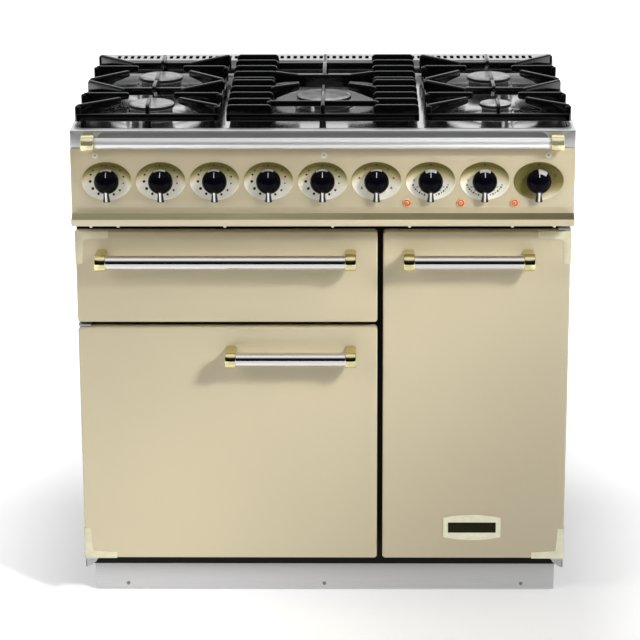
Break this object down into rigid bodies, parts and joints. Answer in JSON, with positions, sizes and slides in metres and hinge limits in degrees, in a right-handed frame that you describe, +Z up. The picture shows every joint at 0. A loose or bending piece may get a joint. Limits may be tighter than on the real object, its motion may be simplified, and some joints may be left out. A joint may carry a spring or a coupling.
{
  "type": "range cooker",
  "caption": "Free-standing dual fuel range cooker: gas hob with lift-off cast pan supports, knob fascia, glide-out grill, side-hinged oven doors, bar handles and a steel plinth.",
  "frame": {"origin": "centre of the footprint, on the floor under the feet and rollers", "axes": "+Z up, the doors and knobs face -Y, +X to the right seen from the front"},
  "size_m": [0.9, 0.648, 0.946],
  "materials": {
    "cream_enamel": "gloss vitreous enamel",
    "black_enamel": "satin black enamel",
    "oven_enamel": "speckled oven enamel",
    "casing": "satin powder coat",
    "zinc": "galvanised",
    "stainless": "fine brushed",
    "chrome": "polished",
    "brass": "polished and lacquered",
    "bezel_metal": "satin champagne plating",
    "grate_enamel": "gloss black enamel",
    "burner_alloy": "cast, satin",
    "knob_plastic": "gloss black",
    "valve_brass": "machined",
    "dark_plastic": "moulded",
    "element_metal": "heat-tinted sheath",
    "wire_chrome": "bright wire",
    "neon_lens": "translucent amber",
    "seal_rubber": "woven silicone",
    "roller_plastic": "hard nylon"
  },
  "bodies": {
    "cooker_body": {"chassis": "black_enamel", "side_panels": "casing", "back_panel": "zinc", "left_oven_liner": "oven_enamel", "right_oven_liner": "oven_enamel", "grill_liner": "oven_enamel", "hob_top": "stainless", "flue_trim": "stainless", "control_fascia": "cream_enamel", "knob_bezels": "bezel_metal", "handrail": "chrome", "handrail_brackets": "brass", "plinth": "stainless", "burner_heads": "burner_alloy", "burner_caps": "burner_alloy", "gas_manifold": "valve_brass", "oven_switches": "dark_plastic", "heating_elements": "element_metal", "oven_shelves": "wire_chrome", "fan_housings": "oven_enamel", "neon_lamps": "neon_lens", "screws": "chrome", "door_hinges": "zinc", "oven_seals": "seal_rubber"},
    "left_door": {"left_door_panel": "cream_enamel", "left_door_liner": "oven_enamel", "left_door_handle": "chrome", "left_door_fittings": "brass"},
    "right_door": {"right_door_panel": "cream_enamel", "right_door_liner": "oven_enamel", "right_door_handle": "chrome", "right_door_fittings": "brass"},
    "grill_drawer": {"grill_front": "cream_enamel", "grill_front_handle": "chrome", "grill_front_fittings": "brass", "grill_carriage": "zinc", "grill_pan": "oven_enamel", "grill_trivet": "wire_chrome"},
    "grill_slides": {"grill_slide_members": "zinc"},
    "left_grate": {"pan_support_left": "grate_enamel"},
    "centre_grate": {"pan_support_centre": "grate_enamel"},
    "right_grate": {"pan_support_right": "grate_enamel"},
    "left_fan": {"left_oven_fan": "zinc"},
    "right_fan": {"right_oven_fan": "zinc"},
    "rollers": {"rear_rollers": "roller_plastic"},
    "feet": {"levelling_feet": "zinc"},
    "tap_1": {"tap_plug_1": "valve_brass"},
    "gas_knob_1": {"gas_knob_1": "knob_plastic"},
    "tap_2": {"tap_plug_2": "valve_brass"},
    "gas_knob_2": {"gas_knob_2": "knob_plastic"},
    "tap_3": {"tap_plug_3": "valve_brass"},
    "gas_knob_3": {"gas_knob_3": "knob_plastic"},
    "tap_4": {"tap_plug_4": "valve_brass"},
    "gas_knob_4": {"gas_knob_4": "knob_plastic"},
    "tap_5": {"tap_plug_5": "valve_brass"},
    "gas_knob_5": {"gas_knob_5": "knob_plastic"},
    "control_knob_1": {"control_knob_1": "knob_plastic"},
    "control_knob_2": {"control_knob_2": "knob_plastic"},
    "control_knob_3": {"control_knob_3": "knob_plastic"},
    "control_knob_4": {"control_knob_4": "knob_plastic"}
  },
  "joints": [
    {"name": "tap_1_turn", "type": "hinge", "parent": "cooker_body", "child": "tap_1", "pos_m": [-0.3856, -0.26, 0.819], "axis": [0, -1, 0], "range_deg": [0, 200]},
    {"name": "gas_knob_1_push", "type": "slide", "parent": "tap_1", "child": "gas_knob_1", "axis": [0, 1, 0], "range_m": [0, 0.004], "stiffness_N_per_m": 600, "springref_m": -0.001},
    {"name": "tap_2_turn", "type": "hinge", "parent": "cooker_body", "child": "tap_2", "pos_m": [-0.2892, -0.26, 0.819], "axis": [0, -1, 0], "range_deg": [0, 200]},
    {"name": "gas_knob_2_push", "type": "slide", "parent": "tap_2", "child": "gas_knob_2", "axis": [0, 1, 0], "range_m": [0, 0.004], "stiffness_N_per_m": 600, "springref_m": -0.001},
    {"name": "tap_3_turn", "type": "hinge", "parent": "cooker_body", "child": "tap_3", "pos_m": [-0.1928, -0.26, 0.819], "axis": [0, -1, 0], "range_deg": [0, 200]},
    {"name": "gas_knob_3_push", "type": "slide", "parent": "tap_3", "child": "gas_knob_3", "axis": [0, 1, 0], "range_m": [0, 0.004], "stiffness_N_per_m": 600, "springref_m": -0.001},
    {"name": "tap_4_turn", "type": "hinge", "parent": "cooker_body", "child": "tap_4", "pos_m": [-0.0964, -0.26, 0.819], "axis": [0, -1, 0], "range_deg": [0, 200]},
    {"name": "gas_knob_4_push", "type": "slide", "parent": "tap_4", "child": "gas_knob_4", "axis": [0, 1, 0], "range_m": [0, 0.004], "stiffness_N_per_m": 600, "springref_m": -0.001},
    {"name": "tap_5_turn", "type": "hinge", "parent": "cooker_body", "child": "tap_5", "pos_m": [0, -0.26, 0.819], "axis": [0, -1, 0], "range_deg": [0, 200]},
    {"name": "gas_knob_5_push", "type": "slide", "parent": "tap_5", "child": "gas_knob_5", "axis": [0, 1, 0], "range_m": [0, 0.004], "stiffness_N_per_m": 600, "springref_m": -0.001},
    {"name": "control_knob_1_turn", "type": "hinge", "parent": "cooker_body", "child": "control_knob_1", "pos_m": [0.0964, -0.27, 0.819], "axis": [0, 1, 0], "range_deg": [0, 300]},
    {"name": "control_knob_2_turn", "type": "hinge", "parent": "cooker_body", "child": "control_knob_2", "pos_m": [0.1928, -0.27, 0.819], "axis": [0, 1, 0], "range_deg": [0, 260]},
    {"name": "control_knob_3_turn", "type": "hinge", "parent": "cooker_body", "child": "control_knob_3", "pos_m": [0.2892, -0.27, 0.819], "axis": [0, 1, 0], "range_deg": [0, 260]},
    {"name": "control_knob_4_turn", "type": "hinge", "parent": "cooker_body", "child": "control_knob_4", "pos_m": [0.3856, -0.27, 0.819], "axis": [0, 1, 0], "range_deg": [0, 240]},
    {"name": "left_door_hinge", "type": "hinge", "parent": "cooker_body", "child": "left_door", "pos_m": [-0.436, -0.262, 0.31], "axis": [0, 0, -1], "range_deg": [0, 110]},
    {"name": "right_door_hinge", "type": "hinge", "parent": "cooker_body", "child": "right_door", "pos_m": [0.436, -0.262, 0.4], "axis": [0, 0, 1], "range_deg": [0, 110]},
    {"name": "grill_glide", "type": "slide", "parent": "cooker_body", "child": "grill_drawer", "axis": [0, -1, 0], "range_m": [0, 0.3]},
    {"name": "slide_member_glide", "type": "slide", "parent": "cooker_body", "child": "grill_slides", "axis": [0, -1, 0], "range_m": [0, 0.15]},
    {"name": "left_grate_lift", "type": "slide", "parent": "cooker_body", "child": "left_grate", "axis": [0, 0, 1], "range_m": [0, 0.12]},
    {"name": "centre_grate_lift", "type": "slide", "parent": "cooker_body", "child": "centre_grate", "axis": [0, 0, 1], "range_m": [0, 0.12]},
    {"name": "right_grate_lift", "type": "slide", "parent": "cooker_body", "child": "right_grate", "axis": [0, 0, 1], "range_m": [0, 0.12]},
    {"name": "left_fan_spin", "type": "hinge", "parent": "cooker_body", "child": "left_fan", "pos_m": [-0.175, 0.2, 0.3], "axis": [0, 1, 0], "continuous": true},
    {"name": "right_fan_spin", "type": "hinge", "parent": "cooker_body", "child": "right_fan", "pos_m": [0.2785, 0.2, 0.4], "axis": [0, 1, 0], "continuous": true},
    {"name": "roller_spin", "type": "hinge", "parent": "cooker_body", "child": "rollers", "pos_m": [0.38, 0.27, 0.025], "axis": [1, 0, 0], "continuous": true},
    {"name": "feet_screw", "type": "slide", "parent": "cooker_body", "child": "feet", "axis": [0, 0, 1], "range_m": [-0.02, 0]}
  ],
  "couplings": [
    {"joint": "slide_member_glide", "follows": "grill_glide", "ratio": 0.5}
  ]
}
